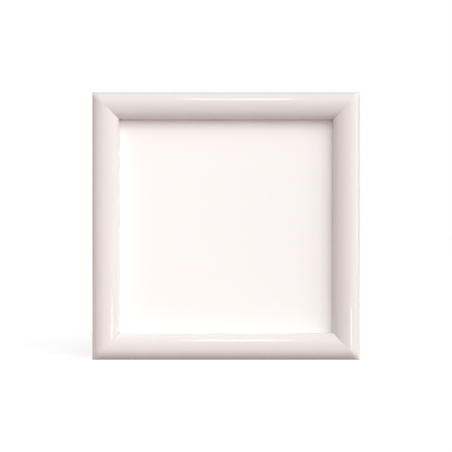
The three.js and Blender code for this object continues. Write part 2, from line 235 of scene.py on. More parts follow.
def eased(section, past):
    """The section so far past the mitre, lower where the hip between two crowns is rounded off."""
    loop = []
    for outward, depth in section:
        if depth < crown_start and 0 < outward < crown_peak:
            width = hip_width * min(1, outward / hip_fade) * (1 - outward / crown_peak)
            from_peak = crown_peak - outward + max(width - past, 0) ** 2 / (4 * width)
            depth = crown_start - crown_height * math.sqrt(1 - (from_peak / crown_peak) ** 2)
        loop.append(Vector((outward, depth)))
    return loop


def moulding_length(name, materials):
    """One rail with its mitred ends, about the middle of the picture, on the bottom side."""
    start = (crown_peak, crown_start)
    back = arc((back_edge, back_plane - back_edge), back_edge, back_edge, 90, 180, 6)
    outer_crown = arc(start, crown_peak, crown_height, 180, 270, 36)
    inner_crown = arc(start, face_width - crown_peak, crown_height, 270, 360, 36)
    lip = arc((face_width - lip_edge, rebate_floor - lip_edge), lip_edge, lip_edge, 0, 90, 5)
    rebate = arc((back_width + lip_edge, rebate_floor + lip_edge), lip_edge, lip_edge, 270, 180, 5)
    heel = arc((back_width - lip_edge, back_plane - lip_edge), lip_edge, lip_edge, 0, 90, 5)
    filmed = back + outer_crown + inner_crown[1:] + lip
    section = filmed + rebate + heel
    rings = [(inset(eased(section, 0), sawn_edge), 0), (eased(section, 0), sawn_edge)]
    rings += [(eased(section, past * MM), past * MM) for past in hip_rings]
    points = []
    for side, ends in ((-1, rings), (1, rings[::-1])):
        for loop, set_back in ends:
            reach = half - mitre_gap / 2 - set_back
            points += [Vector((side * (reach - outward), depth, outward - half)) for outward, depth in loop]
    size = len(section)
    foam_from = size * (2 * len(rings) - 1)
    faces = [face for start in range(0, foam_from, size) for face in bridge(start, size, size)]
    faces += [tuple(range(size)), tuple(range(foam_from, foam_from + size))]
    piece = mesh_piece(name, points, faces, materials)
    for face in piece.data.polygons:
        face.material_index = int(face.index >= foam_from or face.index % size >= len(filmed) - 1)
    return piece


# Gloss film: polystyrene off a polished die. The eye sees an even, faintly pinkish white with crisp lights
# on it, very slight streaks along the extrusion and a trace of orange peel.
gloss_film, tree, surface, place = material("gloss_white_polystyrene_film", IOR=1.5)
along = node(tree, "Mapping", {"Vector": place, "Scale": (per_metre(90), per_metre(0.8), per_metre(0.8))})[0]
streaks = node(tree, "TexNoise", {"Vector": along, "Scale": 1, "Detail": 3})[0]
peel = node(tree, "TexNoise", {"Vector": place, "Scale": per_metre(2.6), "Detail": 1})[0]
patches = node(tree, "TexNoise", {"Vector": place, "Scale": per_metre(45), "Detail": 2})[0]
whites = {0: patches, 6: colour("#E6E2DF"), 7: colour("#E4E0DD")}
tree.links.new(node(tree, "Mix", whites, data_type="RGBA")[2], surface["Base Color"])
gleam = node(tree, "MapRange", {"Value": streaks, "To Min": 0.04, "To Max": 0.08})[0]
tree.links.new(gleam, surface["Roughness"])
lines = node(tree, "Bump", {"Height": streaks, "Distance": 0.0015 * MM})[0]
skin = node(tree, "Bump", {"Height": peel, "Distance": 0.004 * MM, "Normal": lines})[0]
tree.links.new(skin, surface["Normal"])

# Raw foam on the back, in the rebate and on the sawn mitres: a matt, slightly yellower white. Its closed
# cells are about 0.15 mm in the real foam and are drawn at 0.45 mm so that they show.
raw_foam, tree, surface, place = material("foamed_polystyrene", Roughness=0.6, IOR=1.59)
along = node(tree, "Mapping", {"Vector": place, "Scale": (0.4, 1, 1)})[0]
cells = node(tree, "TexVoronoi", {"Vector": along, "Scale": per_metre(0.45)}, feature="SMOOTH_F1")[0]
dirt = node(tree, "TexNoise", {"Vector": place, "Scale": per_metre(14), "Detail": 4})[0]
foams = {0: dirt, 6: colour("#E9E5DB"), 7: colour("#DBD6CA")}
tree.links.new(node(tree, "Mix", foams, data_type="RGBA")[2], surface["Base Color"])
pits = node(tree, "Bump", {"Height": cells, "Distance": 0.06 * MM, "Strength": 0.6})[0]
tree.links.new(pits, surface["Normal"])


def vnail_slots():
    """The slots that the V-nails have pressed into both ends of a rail."""
    slots = []
    for inset_by in vnail_insets:
        corner = inset_by - half
        end = corner + vnail_leg + tight_fit
        line = [(end + vnail_curl, corner + vnail_curl), (end, corner), (corner, corner),
                (corner, end), (corner + vnail_curl, end + vnail_curl)]
        for side in (1, -1):
            loop = strip([Vector((side * x, z)) for x, z in line], vnail_thickness + 2 * tight_fit)
            slots.append(upright("slot", loop, vnail_front - tight_fit, back_plane + back_edge))
    return slots


def drilled(spread, radius, point):
    """Two holes of a rail for its fasteners, as far apart as they are spread."""
    holes = []
    for x in (-spread / 2, spread / 2):
        near = point - tight_fit
        far = back_plane + back_edge
        wide = radius + tight_fit
        hole = turned("hole", [(0, near), (wide, near), (wide, far), (0, far)], steps=32)
        hole.location = (x, 0, fastener_line)
        holes.append(hole)
    return holes


fasteners = {
    "bottom": [],
    "left": [button_spread, screw_shank, screw_point],
    "top": [nail_spread, nail_shank, nail_point],
    "right": [button_spread, screw_shank, screw_point],
}
for turn, name in enumerate(rail_names):
    rail = moulding_length(name + "_moulding", (gloss_film, raw_foam))
    work_on(rail, "DIFFERENCE", vnail_slots())
    if fasteners[name]:
        work_on(rail, "DIFFERENCE", drilled(*fasteners[name]))
    rail.location = middle
    rail.rotation_euler.y = turn * math.pi / 2
    fit(rail, "frame", "white_gloss_moulding", name + "_rail")

# V-nails
# Two folded strips of spring steel across each corner, pressed in from the back, point outwards, so that
# they draw the mitre shut. Only their back edges show, flush with the foam.
vnail_steel, tree, surface, place = material("bright_rolled_spring_steel", Metallic=1.0, Roughness=0.34)
rolled = node(tree, "Mapping", {"Vector": place, "Scale": (1, 0.05, 1)})[0]
grain = node(tree, "TexNoise", {"Vector": rolled, "Scale": per_metre(0.3), "Detail": 4})[0]
steels = {0: grain, 6: colour("#A5A5A3"), 7: colour("#BEBEBC")}
tree.links.new(node(tree, "Mix", steels, data_type="RGBA")[2], surface["Base Color"])
scores = node(tree, "Bump", {"Height": grain, "Distance": 0.01 * MM})[0]
tree.links.new(scores, surface["Normal"])
for name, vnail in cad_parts.items():
    if name.startswith("vnail_"):
        vnail.data.materials.clear()
        vnail.data.materials.append(vnail_steel)

# Picture card
# A blank sheet of thick white card that lies behind the sight edge and takes the diamond painting. It is
# guillotined, so its corners are square but for a trace of wear.


def outline(corners, steps=8):
    """A line through corners of x, z and how far back from the corner its rounding starts."""
    line = []
    for i, (x, z, setback) in enumerate(corners):
        corner = Vector((x, z))
        if not setback:
            line.append(corner)
            continue
        before = Vector(corners[i - 1][:2])
        after = Vector(corners[(i + 1) % len(corners)][:2])
        entry = corner + (before - corner).normalized() * setback
        leave = corner + (after - corner).normalized() * setback
        for step in range(steps + 1):
            t = step / steps
            line.append(entry * (1 - t) ** 2 + corner * 2 * t * (1 - t) + leave * t ** 2)
    return line


def plate(name, outer, holes, near, far, arris, materials):
    """A flat piece drawn in X and Z, between two depths, with its arrises rounded and its faces flat."""
    turns = [math.radians(30 * k) for k in range(4)]
    levels = [(near + arris * (1 - math.cos(a)), arris * (1 - math.sin(a))) for a in turns]
    levels += [(near + far - depth, inward) for depth, inward in reversed(levels)]
    loops = [outer] + holes
    points = []
    for depth, inward in levels:
        for loop in loops:
            points += [(x, depth, z) for x, z in inset(loop, inward)]
    level_size = sum(len(loop) for loop in loops)
    faces = []
    start = 0
    for level in range(len(levels) - 1):
        for loop in loops:
            faces += bridge(start, len(loop), level_size)
            start += len(loop)
    walls = len(faces)
    flat = [[Vector((x, z, 0)) for x, z in inset(loop, arris)] for loop in loops]
    for a, b, c in tessellate_polygon(flat):
        faces += [(a, b, c), (start + a, start + c, start + b)]
    piece = mesh_piece(name, points, faces, materials)
    for face in piece.data.polygons:
        face.material_index = int(face.index < walls and len(materials) > 1)
        face.use_smooth = face.index < walls
    return piece


def rectangle(left, bottom, right, top, setback):
    """A rectangle with rounded corners, run anticlockwise."""
    return outline([(left, bottom, setback), (right, bottom, setback), (right, top, setback),
                    (left, top, setback)])


def round_hole(x, z, radius, steps=32):
    """A round hole, run clockwise."""
    return arc((x, z), radius, radius, 360, 360 / steps, steps - 1)


# White card: uncoated, bright and matt, with short fibres pressed flat in its face. They are drawn at
# 0.7 mm so that they show. Its cut edge shows the greyer pulp inside.
white_card, tree, surface, place = material("uncoated_white_card", Roughness=0.85)
felted = node(tree, "TexNoise", {"Vector": place, "Scale": per_metre(0.7), "Detail": 5, "Distortion": 1.5})[0]
cloudy = node(tree, "TexNoise", {"Vector": place, "Scale": per_metre(9), "Detail": 3})[0]
papers = {0: cloudy, 6: colour("#FDFDFC"), 7: colour("#FBFBF9")}
tree.links.new(node(tree, "Mix", papers, data_type="RGBA")[2], surface["Base Color"])
fibres = node(tree, "Bump", {"Height": felted, "Distance": 0.012 * MM})[0]
tree.links.new(fibres, surface["Normal"])
card_pulp, tree, surface, place = material("cut_edge_of_grey_pulp_card", Roughness=0.95)
layers = node(tree, "Mapping", {"Vector": place, "Scale": (0.1, 1, 0.1)})[0]
layered = node(tree, "TexNoise", {"Vector": layers, "Scale": per_metre(0.3), "Detail": 3})[0]
pulps = {0: layered, 6: colour("#D9D6CE"), 7: colour("#C2BEB4")}
tree.links.new(node(tree, "Mix", pulps, data_type="RGBA")[2], surface["Base Color"])
tree.links.new(node(tree, "Bump", {"Height": layered, "Distance": 0.05 * MM})[0], surface["Normal"])

card_corner = 0.8 * MM
card_arris = 0.1 * MM
low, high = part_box("insert_card")
loop = rectangle(low.x, low.z, high.x, high.z, card_corner)
card = plate("picture_card", loop, [], low.y, high.y, card_arris, (white_card, card_pulp))
fit(card, "frame", "white_card", "insert_card")

# Backing board
# A square of 3 mm hardboard, smooth side out, that the turn buttons hold in the rebate. The two rivets of
# the strut's hinge go through it, with their tails sunk in its front.
board_corner = 2 * MM
board_arris = 0.2 * MM
rivet_hole = 1.75 * MM
tail_radius = 2.75 * MM
tail_recess = 0.9 * MM
pin_low, pin_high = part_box("strut_hinge_pin")
hinge = (pin_low + pin_high) / 2
rivet_heights = []
for name in ("bracket_rivet_lower", "bracket_rivet_upper"):
    low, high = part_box(name)
    rivet_heights.append((low.z + high.z) / 2)

# Hardboard: wood fibre pressed with its own resin. The eye sees a warm brown felt of fine fibres with
# scattered darker and paler bundles, and a dull polish from the press plate. Fibres are drawn at 0.5 mm.
pressed_face, tree, surface, place = material("smooth_pressed_hardboard", IOR=1.5)
drawn_out = node(tree, "Mapping", {"Vector": place, "Scale": (1, 1, 0.35)})[0]
felt = node(tree, "TexNoise", {"Vector": place, "Scale": per_metre(0.5), "Detail": 6, "Distortion": 2.5})[0]
bundling = {"Vector": drawn_out, "Scale": per_metre(1.8), "Detail": 4, "Distortion": 1.2}
bundle = node(tree, "TexNoise", bundling)[0]
cloud = node(tree, "TexNoise", {"Vector": place, "Scale": per_metre(35), "Detail": 3})[0]
brown = node(tree, "Mix", {0: felt, 6: colour("#6F4A2C"), 7: colour("#9A7450")}, data_type="RGBA")[2]
dark_bundle = node(tree, "MapRange", {"Value": bundle, "From Min": 0.6, "From Max": 0.78, "To Max": 0.55})[0]
brown = node(tree, "Mix", {0: dark_bundle, 6: brown, 7: colour("#4B2F1B")}, data_type="RGBA")[2]
pale_bundle = node(tree, "MapRange", {"Value": bundle, "From Min": 0.38, "From Max": 0.24, "To Max": 0.4})[0]
brown = node(tree, "Mix", {0: pale_bundle, 6: brown, 7: colour("#B39069")}, data_type="RGBA")[2]
shading = {"Value": cloud, "From Min": 0.3, "From Max": 0.7, "To Min": 0.9, "To Max": 1.06}
shaded = node(tree, "MapRange", shading)[0]
toned = node(tree, "HueSaturation", {"Color": brown, "Value": shaded})[0]
tree.links.new(toned, surface["Base Color"])
polish = node(tree, "MapRange", {"Value": felt, "To Min": 0.42, "To Max": 0.62})[0]
tree.links.new(polish, surface["Roughness"])
tree.links.new(node(tree, "Bump", {"Height": felt, "Distance": 0.02 * MM})[0], surface["Normal"])

# Sawn edge of the same board: darker, furry and without polish, in faint layers.
sawn_board, tree, surface, place = material("sawn_hardboard_edge", Roughness=0.95)
layers = node(tree, "Mapping", {"Vector": place, "Scale": (0.4, 1.6, 0.4)})[0]
layered = node(tree, "TexNoise", {"Vector": layers, "Scale": per_metre(0.6), "Detail": 5})[0]
edges = {0: layered, 6: colour("#4C3220"), 7: colour("#7B5A3D")}
tree.links.new(node(tree, "Mix", edges, data_type="RGBA")[2], surface["Base Color"])
tree.links.new(node(tree, "Bump", {"Height": layered, "Distance": 0.12 * MM})[0], surface["Normal"])

low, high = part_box("backing_board")
loop = rectangle(low.x, low.z, high.x, high.z, board_corner)
holes = [round_hole(0, z, rivet_hole) for z in rivet_heights]
board = plate("hardboard_back", loop, holes, low.y, high.y, board_arris, (pressed_face, sawn_board))
sinks = []
for z in rivet_heights:
    rim, floor_of_sink = low.y - tail_recess, low.y + tail_recess
    sink = turned("sink", [(0, rim), (tail_radius, rim), (tail_radius, floor_of_sink), (0, floor_of_sink)])
    sink.location.z = z
    sinks.append(sink)
work_on(board, "DIFFERENCE", sinks)
fit(board, "frame", "hardboard", "backing_board")

# Strut hinge
# A folded bracket is riveted to the board, and a leaf is riveted to the strut. The leaf's tongue is rolled
# round a steel pin between the bracket's cheeks, and its two heels stop the strut when it is fully open.
sheet = 0.8 * MM
pin_bore = 1.15 * MM
metal_arris = 0.12 * MM
rivet_drops = [hinge.z - z for z in rivet_heights]
split_reach = 1e-8
least_move = 1e-7

# Nickel-plated steel: a slightly warm, grey metal. The eye sees the fine lines of the rolled sheet under
# the plating and soft cloudy wear; the lines are drawn at 0.35 mm.
nickel_sheet, tree, surface, place = material("nickel_plated_steel_sheet", Metallic=1.0, Roughness=0.25)
rolled = node(tree, "Mapping", {"Vector": place, "Scale": (1, 1, 0.04)})[0]
grain = node(tree, "TexNoise", {"Vector": rolled, "Scale": per_metre(0.35), "Detail": 3})[0]
clouds = node(tree, "TexNoise", {"Vector": place, "Scale": per_metre(6), "Detail": 5})[0]
nickels = {0: clouds, 6: colour("#BEBAB1"), 7: colour("#A19D94")}
nickel = node(tree, "Mix", nickels, data_type="RGBA")[2]
lining = {"Value": grain, "From Min": 0.3, "From Max": 0.7, "To Min": 0.88, "To Max": 1.08}
lined = node(tree, "MapRange", lining)[0]
tree.links.new(node(tree, "HueSaturation", {"Color": nickel, "Value": lined})[0], surface["Base Color"])
wear = {"Value": clouds, "From Min": 0.3, "From Max": 0.7, "To Min": 0.18, "To Max": 0.34}
worn = node(tree, "MapRange", wear)[0]
tree.links.new(worn, surface["Roughness"])
tree.links.new(node(tree, "Bump", {"Height": grain, "Distance": 0.006 * MM})[0], surface["Normal"])


def bent(piece, axis, places, bend):
    """Divides the piece's mesh across at these places along the axis, then moves its points as bend says."""
    work = bmesh.new()
    work.from_mesh(piece.data)
    for at in places:
        everything = work.verts[:] + work.edges[:] + work.faces[:]
        bmesh.ops.bisect_plane(work, geom=everything, dist=split_reach, plane_co=axis * at, plane_no=axis)
    for point in work.verts:
        moved = bend(point.co.copy())
        if (moved - point.co).length > least_move:
            for face in point.link_faces:
                face.smooth = True
        point.co = moved
    bmesh.ops.recalc_face_normals(work, faces=work.faces)
    work.to_mesh(piece.data)
    work.free()


# The bracket is cut flat with its two lugs, and they are folded back into cheeks.
low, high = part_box("strut_hinge_bracket")
cheek = high.x - sheet / 2
bend_radius = 1 * MM
fold_start = cheek - bend_radius
fold_length = bend_radius * math.pi / 2
bracket_middle = low.y + sheet / 2
lug_radius = hinge.z - low.z
lug_reach = fold_start + fold_length + hinge.y - bracket_middle - bend_radius
plate_half = 7 * MM
relief = 0.6 * MM
plate_top = high.z - hinge.z
corner = 3 * MM
lug_end = arc((lug_reach, 0), lug_radius, lug_radius, -90, 90, 24)
blank = outline([(plate_half + relief, lug_radius, 0), (plate_half, lug_radius + relief, 0),
                 (plate_half, plate_top, corner), (-plate_half, plate_top, corner),
                 (-plate_half, lug_radius + relief, 0), (-plate_half - relief, lug_radius, 0)])
blank = lug_end + blank + [Vector((-x, z)) for x, z in reversed(lug_end)]
holes = [round_hole(side * lug_reach, 0, pin_bore) for side in (1, -1)]
holes += [round_hole(0, -drop, rivet_hole) for drop in rivet_drops]
bracket = plate("hinge_bracket", blank, holes, low.y, low.y + sheet, metal_arris, (nickel_sheet,))


def fold_cheek(point):
    """A point of the flat bracket blank moved to where the folded cheeks take it."""
    side = math.copysign(1, point.x)
    along = abs(point.x) - fold_start
    lift = point.y - bracket_middle
    if along <= 0:
        return point
    turn = min(along / bend_radius, math.pi / 2)
    straight = max(along - fold_length, 0)
    x = fold_start + (bend_radius - lift) * math.sin(turn)
    y = bracket_middle + bend_radius - (bend_radius - lift) * math.cos(turn) + straight
    return Vector((side * x, y, point.z))


folds = [fold_start + fold_length * k / 8 for k in range(9)]
bent(bracket, Vector((1, 0, 0)), folds + [-x for x in folds], fold_cheek)
bracket.location.z = hinge.z
fit(bracket, "frame", "nickel_plated_steel", "strut_hinge_bracket")

# The leaf is cut flat with a tongue between two slits, and the tongue is rolled round the pin.
low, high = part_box("strut_hinge_leaf")
leaf_middle = high.y - sheet / 2
roll_radius = leaf_middle - hinge.y
rolled_length = roll_radius * math.radians(290)
tongue_half = 4 * MM
slit = 0.3 * MM
slit_end = -2.6 * MM
heel_top = high.z - hinge.z
heel_corner = 0.4 * MM
leaf_foot = low.z - hinge.z
loop = outline([(-plate_half, leaf_foot, corner), (plate_half, leaf_foot, corner),
                (plate_half, heel_top, heel_corner), (tongue_half + slit, heel_top, heel_corner),
                (tongue_half + slit, slit_end, 0), (tongue_half, slit_end, 0),
                (tongue_half, rolled_length, 0), (-tongue_half, rolled_length, 0),
                (-tongue_half, slit_end, 0), (-tongue_half - slit, slit_end, 0),
                (-tongue_half - slit, heel_top, heel_corner), (-plate_half, heel_top, heel_corner)])
holes = [round_hole(0, drop, rivet_hole) for drop in rivet_drops]
leaf = plate("hinge_leaf", loop, holes, high.y - sheet, high.y, metal_arris, (nickel_sheet,))


def roll_tongue(point):
    """A point of the flat leaf blank moved to where the rolled tongue takes it."""
    if point.z <= 0 or abs(point.x) > tongue_half + slit / 2:
        return point
    turn = point.z / roll_radius
    out = roll_radius + point.y - leaf_middle
    return Vector((point.x, hinge.y + out * math.cos(turn), out * math.sin(turn)))


bent(leaf, Vector((0, 0, 1)), [rolled_length * k / 36 for k in range(36)], roll_tongue)
leaf.location.z = hinge.z
fit(leaf, "strut", "nickel_plated_steel", "strut_hinge_leaf")

# Nickel-plated wire for the pin, rivets and screws: the same metal, brighter, with a faint satin from
# tumbling and small dull spots.
nickel_wire, tree, surface, place = material("nickel_plated_tumbled_steel", Metallic=1.0, Roughness=0.2)
spots = node(tree, "TexNoise", {"Vector": place, "Scale": per_metre(1.2), "Detail": 4})[0]
nickels = {0: spots, 6: colour("#C6C2B9"), 7: colour("#A6A298")}
tree.links.new(node(tree, "Mix", nickels, data_type="RGBA")[2], surface["Base Color"])
dulling = {"Value": spots, "From Min": 0.35, "From Max": 0.7, "To Min": 0.14, "To Max": 0.3}
dulled = node(tree, "MapRange", dulling)[0]
tree.links.new(dulled, surface["Roughness"])
tree.links.new(node(tree, "Bump", {"Height": spots, "Distance": 0.008 * MM})[0], surface["Normal"])

pin_head = 0.6 * MM
pin_radius = 1 * MM
seat = pin_high.x - pin_head
half_pin = [(pin_radius, seat)] + arc((0, seat), pin_high.z - hinge.z, pin_head, 0, 90, 10)
pairs = [(radius, -at) for radius, at in reversed(half_pin)] + half_pin
pin = turned("hinge_pin", pairs, (nickel_wire,))
pin.rotation_euler.z = -math.pi / 2
pin.location = (0, hinge.y, hinge.z)
fit(pin, "frame", "nickel_plated_steel", "strut_hinge_pin")

rivet_radius = 1.5 * MM
rivet_head = 1.1 * MM
rivet_tail = 0.6 * MM
rivet_tail_radius = 2.5 * MM
seated = 0.07 * MM
for body, holder in (("frame", "bracket"), ("strut", "leaf")):
    for level in ("lower", "upper"):
        name = holder + "_rivet_" + level
        low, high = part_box(name)
        under = high.y - rivet_head - seated
        behind = low.y + rivet_tail
        pairs = arc((0, behind), rivet_tail_radius, rivet_tail, 270, 360, 10)
        pairs += [(rivet_radius, behind), (rivet_radius, under)]
        pairs += arc((0, under), high.x, rivet_head + seated, 0, 90, 14)
        rivet = turned(holder + "_" + level + "_rivet", pairs, (nickel_wire,))
        rivet.location.z = (low.z + high.z) / 2
        fit(rivet, body, "nickel_plated_steel", name)

# Strut
# The easel's leg: hardboard sawn to a taper, with rounded shoulders and a foot that is arched so that it
# stands on two toes. It is riveted to the leaf.
low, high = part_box("strut_board")
top, foot, wide = high.z - hinge.z, low.z - hinge.z, high.x
shoulder = 20 * MM
shoulder_corner = 8 * MM
strut_arris = 0.25 * MM
toe = 14 * MM
toe_corner = 2 * MM
arch = 6 * MM
loop = outline([(-wide, foot, toe_corner), (toe - wide, foot, toe_corner),
                (0, foot + arch, wide - toe - toe_corner), (wide - toe, foot, toe_corner),
                (wide, foot, toe_corner), (shoulder, top, shoulder_corner),
                (-shoulder, top, shoulder_corner)], steps=16)
holes = [round_hole(0, drop, rivet_hole) for drop in rivet_drops]
strut = plate("hardboard_strut", loop, holes, low.y, high.y, strut_arris, (pressed_face, sawn_board))
strut.location.z = hinge.z
fit(strut, "strut", "hardboard", "strut_board")

# Turn buttons
# Four stamped steel catches with a stiffening rib and a raised boss. Each turns on a pan-head screw in the
# side rail, and its arm holds the board in.
end_radius = 4.5 * MM
tip_radius = 3 * MM
reach = 17 * MM
thickness = 1 * MM
boss_radius = 3.6 * MM
boss_shoulder = 0.6 * MM
boss_foot = 0.05 * MM
boss_edge = 0.3 * MM
bore_play = 0.25 * MM
rib_half = 1 * MM
rib_arris = 0.4 * MM
lean = math.degrees(math.asin((end_radius - tip_radius) / reach))
button_loop = arc((0, 0), end_radius, end_radius, 180 - lean, 360 + lean, 40)
button_loop += arc((0, reach), tip_radius, tip_radius, lean, 180 - lean, 24)
rib_loop = rectangle(-rib_half, 0, rib_half, reach + tip_radius / 2, 0.9 * rib_half)

screw_head = 1.6 * MM
screw_rim = 2.75 * MM
head_foot = 0.1 * MM
head_side = 0.25 * MM
head_edge = 1 * MM
head_top = 0.5 * MM
neck = 0.5 * MM
thread_pitch = 1.1 * MM
thread_step = thread_pitch / 8
thread_depth = 0.35 * MM
screw_tip = 2 * MM
recess_reach = 1.5 * MM
recess_half = 0.42 * MM
recess_depth = 1.2 * MM

# Each screw has stopped at an angle of its own.
screw_turn = math.radians(17)
next_screw_turn = math.radians(38)


def cross(reach, half_width):
    """The outline of a cross, run anticlockwise."""
    arm = [(reach, -half_width), (reach, half_width), (half_width, half_width)]
    loop = []
    for _ in range(4):
        loop += arm
        arm = [(-z, x) for x, z in arm]
    return loop


def cross_recess(top):
    """The tapered cross that the driver fits, as a solid to cut from a head whose top is at this depth."""
    levels = [(top + recess_depth / 4, 1, 1), (top, 1, 1), (top - 0.8 * recess_depth, 0.38, 0.7),
              (top - recess_depth, 0.08, 0.2)]
    loops = [cross(recess_reach * far, recess_half * wide) for depth, far, wide in levels]
    points = [(x, level[0], z) for level, loop in zip(levels, loops) for x, z in loop]
    size = len(loops[0])
    faces = [face for k in range(len(levels) - 1) for face in bridge(k * size, size, size)]
    faces += [tuple(range(size)), tuple(range(len(points) - size, len(points)))]
    return mesh_piece("recess", points, faces, ())


def cut_thread(screw, end):
    """Cuts a thread into the screw's shank, up to the depth end."""
    for point in screw.data.vertices:
        x, depth, z = point.co
        radius = math.hypot(x, z)
        if depth > end or radius < thread_depth:
            continue
        phase = (depth / thread_pitch - math.atan2(z, x) / math.tau) % 1
        share = 1 - thread_depth * abs(2 * phase - 1) / radius
        point.co.x *= share
        point.co.z *= share


for side, turn in (("left", 1), ("right", 3)):
    for level in ("lower", "upper"):
        name = side + "_" + level
        low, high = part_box("turn_button_" + name)
        inside = low.y + thickness / 2
        outside = low.y + thickness
        button = plate("button_" + name, button_loop, [], low.y, outside, metal_arris, (nickel_sheet,))
        rib = plate("rib", rib_loop, [], inside, outside + thickness / 2, rib_arris, (nickel_sheet,))
        dish = outline([(0, inside, 0), (boss_radius, inside, 0), (boss_radius, outside + boss_foot, 0),
                        (boss_radius - boss_shoulder, high.y, boss_edge), (0, high.y, 0)])
        boss = turned("boss", dish, (nickel_sheet,))
        wide = screw_shank + bore_play
        bore = turned("bore", [(0, low.y - MM), (wide, low.y - MM), (wide, high.y + MM), (0, high.y + MM)])
        work_on(button, "UNION", [rib, boss])
        work_on(button, "DIFFERENCE", [bore])
        low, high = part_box("button_screw_" + name)
        button.location = ((low.x + high.x) / 2, 0, (low.z + high.z) / 2)
        button.rotation_euler.y = turn * math.pi / 2
        fit(button, "button_" + name, "nickel_plated_steel", "turn_button_" + name)

        under = high.y - screw_head - seated
        shank_end = under - neck
        rings = round((shank_end - low.y - screw_tip) / thread_step)
        pairs = [(screw_shank * k / 12, low.y + screw_tip * k / 12) for k in range(12)]
        pairs += [(screw_shank, low.y + screw_tip + thread_step * k) for k in range(rings + 1)]
        pairs += outline([(screw_shank, under, 0), (screw_rim, under, head_foot),
                          (screw_rim, high.y - head_side, head_edge),
                          (0.45 * screw_rim, high.y, head_top), (0, high.y, 0)])
        screw = turned("screw_" + name, pairs, (nickel_wire,))
        cut_thread(screw, shank_end - thread_pitch)
        work_on(screw, "DIFFERENCE", [cross_recess(high.y)])
        screw.location = ((low.x + high.x) / 2, 0, (low.z + high.z) / 2)
        screw.rotation_euler.y = screw_turn
        screw_turn += next_screw_turn
        fit(screw, "frame", "nickel_plated_steel", "button_screw_" + name)

# Sawtooth hanger
# A strip of zinc-plated steel, bowed away from the rail so that a wall nail reaches behind its teeth. Two
# small nails through its flat feet hold it to the top rail.

# Zinc plating with a clear passivation: a cool grey metal. The eye sees a fine frosted bloom and a trace
# of yellow and blue in patches.
zinc_plate, tree, surface, place = material("zinc_plated_steel", Metallic=1.0, Roughness=0.36)
bloom = node(tree, "TexVoronoi", {"Vector": place, "Scale": per_metre(1.1)}, feature="F1")["Color"]
frost = node(tree, "SeparateColor", {"Color": bloom})[0]
cast = node(tree, "TexNoise", {"Vector": place, "Scale": per_metre(7), "Detail": 3})[0]
zincs = {0: cast, 6: colour("#B3B9BF"), 7: colour("#BCBBB0")}
zinced = node(tree, "Mix", zincs, data_type="RGBA")[2]
level = node(tree, "MapRange", {"Value": frost, "To Min": 0.93, "To Max": 1.05})[0]
tree.links.new(node(tree, "HueSaturation", {"Color": zinced, "Value": level})[0], surface["Base Color"])
frosted = node(tree, "MapRange", {"Value": frost, "To Min": 0.3, "To Max": 0.44})[0]
tree.links.new(frosted, surface["Roughness"])
tree.links.new(node(tree, "Bump", {"Height": cast, "Distance": 0.02 * MM})[0], surface["Normal"])

low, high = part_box("sawtooth_hanger")
bow = high.y - low.y - sheet
end = high.x
edge = (high.z - low.z) / 2
foot_length = 7 * MM
hanger_foot = end - foot_length
hanger_corner = 2 * MM
hanger_arris = 0.08 * MM
ramp = 2.5 * MM
tooth_pitch = 2.5 * MM
tooth_depth = 1.5 * MM
tooth_count = 11
tooth_round = 0.15 * MM
first_tooth = tooth_count * tooth_pitch / 2
hanger_middle = low.y + sheet / 2
corners = [(-end, -edge, hanger_corner), (end, -edge, hanger_corner), (end, edge, hanger_corner)]
for k in range(tooth_count):
    x = first_tooth - k * tooth_pitch
    corners += [(x, edge, tooth_round), (x - tooth_pitch / 2, edge - tooth_depth, tooth_round)]
corners += [(-first_tooth, edge, tooth_round), (-end, edge, hanger_corner)]
holes = [round_hole(x, 0, nail_shank + tight_fit) for x in (-nail_spread / 2, nail_spread / 2)]
loop = outline(corners, steps=5)
hanger = plate("toothed_hanger", loop, holes, low.y, low.y + sheet, hanger_arris, (zinc_plate,))


def bow_out(point):
    """A point of the flat hanger strip moved to where the bowed strip takes it."""
    share = min(max((hanger_foot - abs(point.x)) / ramp, 0), 1)
    lift = bow * share ** 2 * (3 - 2 * share)
    slope = -math.copysign(6 * bow / ramp * share * (1 - share), point.x)
    across = (point.y - hanger_middle) / math.hypot(1, slope)
    return Vector((point.x - slope * across, hanger_middle + lift + across, point.z))


bends = [hanger_foot - ramp * k / 12 for k in range(13)]
bent(hanger, Vector((1, 0, 0)), bends + [-x for x in bends], bow_out)
hanger.location.z = (low.z + high.z) / 2
hanger.rotation_euler.y = math.pi
fit(hanger, "frame", "zinc_plated_steel", "sawtooth_hanger")

nail_head = 0.7 * MM
nail_tip = 1.5 * MM
nail_edge = 0.1 * MM
nail_rim = 0.15 * MM
for side in ("left", "right"):
    low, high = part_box("hanger_nail_" + side)
    under = high.y - nail_head - seated
    rim = (high.x - low.x) / 2
    pairs = [(0, low.y), (nail_shank, low.y + nail_tip), (nail_shank, under), (rim - nail_edge, under)]
    pairs += arc((0, under + nail_rim), rim, high.y - under - nail_rim, 0, 90, 10)
    nail = turned("nail_" + side, pairs, (zinc_plate,))
    nail.location = ((low.x + high.x) / 2, 0, (low.z + high.z) / 2)
    fit(nail, "frame", "zinc_plated_steel", "hanger_nail_" + side)

# Floor and light
# A plain white floor under soft studio light from a dome, brightest at the upper right, with soft boxes
# that draw the lines of light along the crowns. The light that the floor sends back is warmer and dimmer
# than the floor looks, and the gloss doesn't show the floor.
floor_reach = 8.0
floor_glow = 0.6


def seen_directly(tree):
    """1 for rays from the camera, a mirror-like surface or glass, and otherwise 0."""
    path = node(tree, "LightPath")
    seen = node(tree, "Math", {0: path["Is Camera Ray"], 1: path["Is Glossy Ray"]}, operation="MAXIMUM")[0]
    return node(tree, "Math", {0: seen, 1: path["Is Transmission Ray"]}, operation="MAXIMUM")[0]


